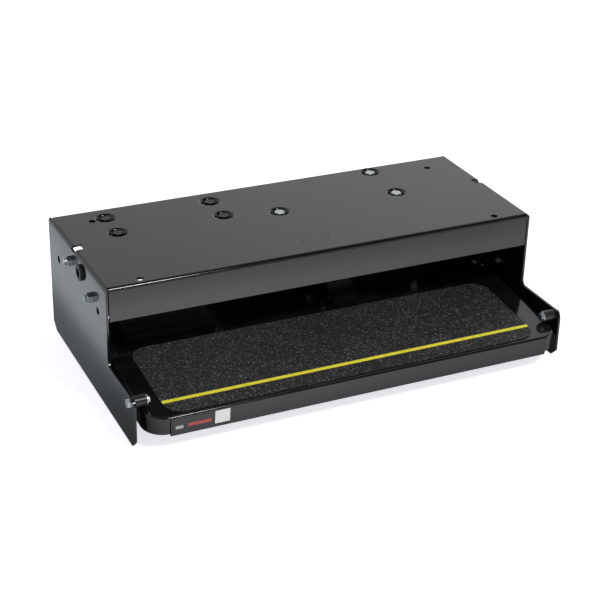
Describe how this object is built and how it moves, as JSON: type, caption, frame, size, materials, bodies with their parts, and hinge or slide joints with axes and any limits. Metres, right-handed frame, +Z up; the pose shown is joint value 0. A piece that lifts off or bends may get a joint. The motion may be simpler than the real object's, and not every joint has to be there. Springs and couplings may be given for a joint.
{
  "type": "electric entry step",
  "caption": "Power step for a caravan door: a black folded steel housing, a gearmotor and swing arms that carry a tread with a grit mat and a yellow edge strip.",
  "frame": {"origin": "centre of the four mounting holes, on the top face of the housing", "axes": "+X across the step, -Y towards the side a person steps from, +Z up through the mounting face"},
  "size_m": [0.629, 0.3501, 0.174],
  "materials": {
    "black_coat": "gloss black powder coat on folded steel",
    "zinc": "bright zinc plate",
    "black_screw": "black oxide, half gloss",
    "bush_bronze": "sintered bronze, oiled",
    "rubber": "matt black rubber",
    "black_plastic": "moulded black plastic",
    "socket_plastic": "moulded grey plastic",
    "cast_alloy": "as-cast aluminium",
    "motor_paint": "satin dark paint",
    "grit": "coarse black grit on a bonded sheet",
    "stripe_yellow": "bright yellow marking strip"
  },
  "bodies": {
    "housing": {"frame_housing": "black_coat", "pivot_bolts": "zinc", "pivot_bushes": "bush_bronze", "pivot_washers": "zinc", "pivot_nuts": "zinc", "bumper_bolts": "zinc", "bumper_sleeves": "rubber", "bumper_washers": "zinc", "wire_grommet": "black_plastic", "control_bracket": "black_coat", "control_box": "black_plastic", "control_lid": "black_plastic", "control_connector": "socket_plastic", "control_screws": "black_screw", "control_nuts": "zinc", "motor_bracket": "black_coat", "motor_bolts": "zinc", "motor_nuts": "zinc", "gear_housing": "cast_alloy", "gear_cover": "cast_alloy", "motor_can": "motor_paint", "motor_end_cap": "black_plastic"},
    "front_arms": {"front_arm_left": "black_coat", "front_arm_right": "black_coat", "torque_tube": "black_coat", "drive_lever": "black_coat", "lever_pin": "zinc", "lever_clip": "zinc"},
    "rear_arms": {"rear_arm_left": "black_coat", "rear_arm_right": "black_coat", "rear_cross_rod": "zinc", "rear_rod_clips": "zinc"},
    "tread": {"tread_pan": "black_coat", "grip_mat": "grit", "edge_stripe": "stripe_yellow", "tread_bolts": "zinc", "tread_bushes": "bush_bronze", "tread_washers": "zinc", "tread_nuts": "zinc"},
    "crank": {"output_shaft": "zinc", "output_crank": "black_coat", "crank_nut": "zinc", "crank_pin": "zinc", "crank_clip": "zinc"},
    "drive_link": {"drive_link": "black_coat"}
  },
  "joints": [
    {"name": "step_swing", "type": "hinge", "parent": "housing", "child": "front_arms", "pos_m": [0, -0.047, -0.038], "axis": [-1, 0, 0], "range_deg": [0, 54]},
    {"name": "rear_arm_swing", "type": "hinge", "parent": "housing", "child": "rear_arms", "pos_m": [0, 0.036, -0.024], "axis": [-1, 0, 0], "range_deg": [0, 54]},
    {"name": "tread_level", "type": "hinge", "parent": "front_arms", "child": "tread", "pos_m": [0, 0.02849, -0.14992], "axis": [-1, 0, 0], "range_deg": [-50.5, 0]},
    {"name": "crank_turn", "type": "hinge", "parent": "housing", "child": "crank", "pos_m": [0, 0.034, -0.057], "axis": [-1, 0, 0], "range_deg": [0, 54]},
    {"name": "link_swing", "type": "hinge", "parent": "crank", "child": "drive_link", "pos_m": [0, 0.06531, -0.10343], "axis": [-1, 0, 0], "range_deg": [-54, 0]}
  ],
  "couplings": [
    {"joint": "rear_arm_swing", "follows": "step_swing", "ratio": 1},
    {"joint": "tread_level", "follows": "step_swing", "ratio": -0.92333},
    {"joint": "crank_turn", "follows": "step_swing", "ratio": 1},
    {"joint": "link_swing", "follows": "step_swing", "ratio": -1}
  ]
}
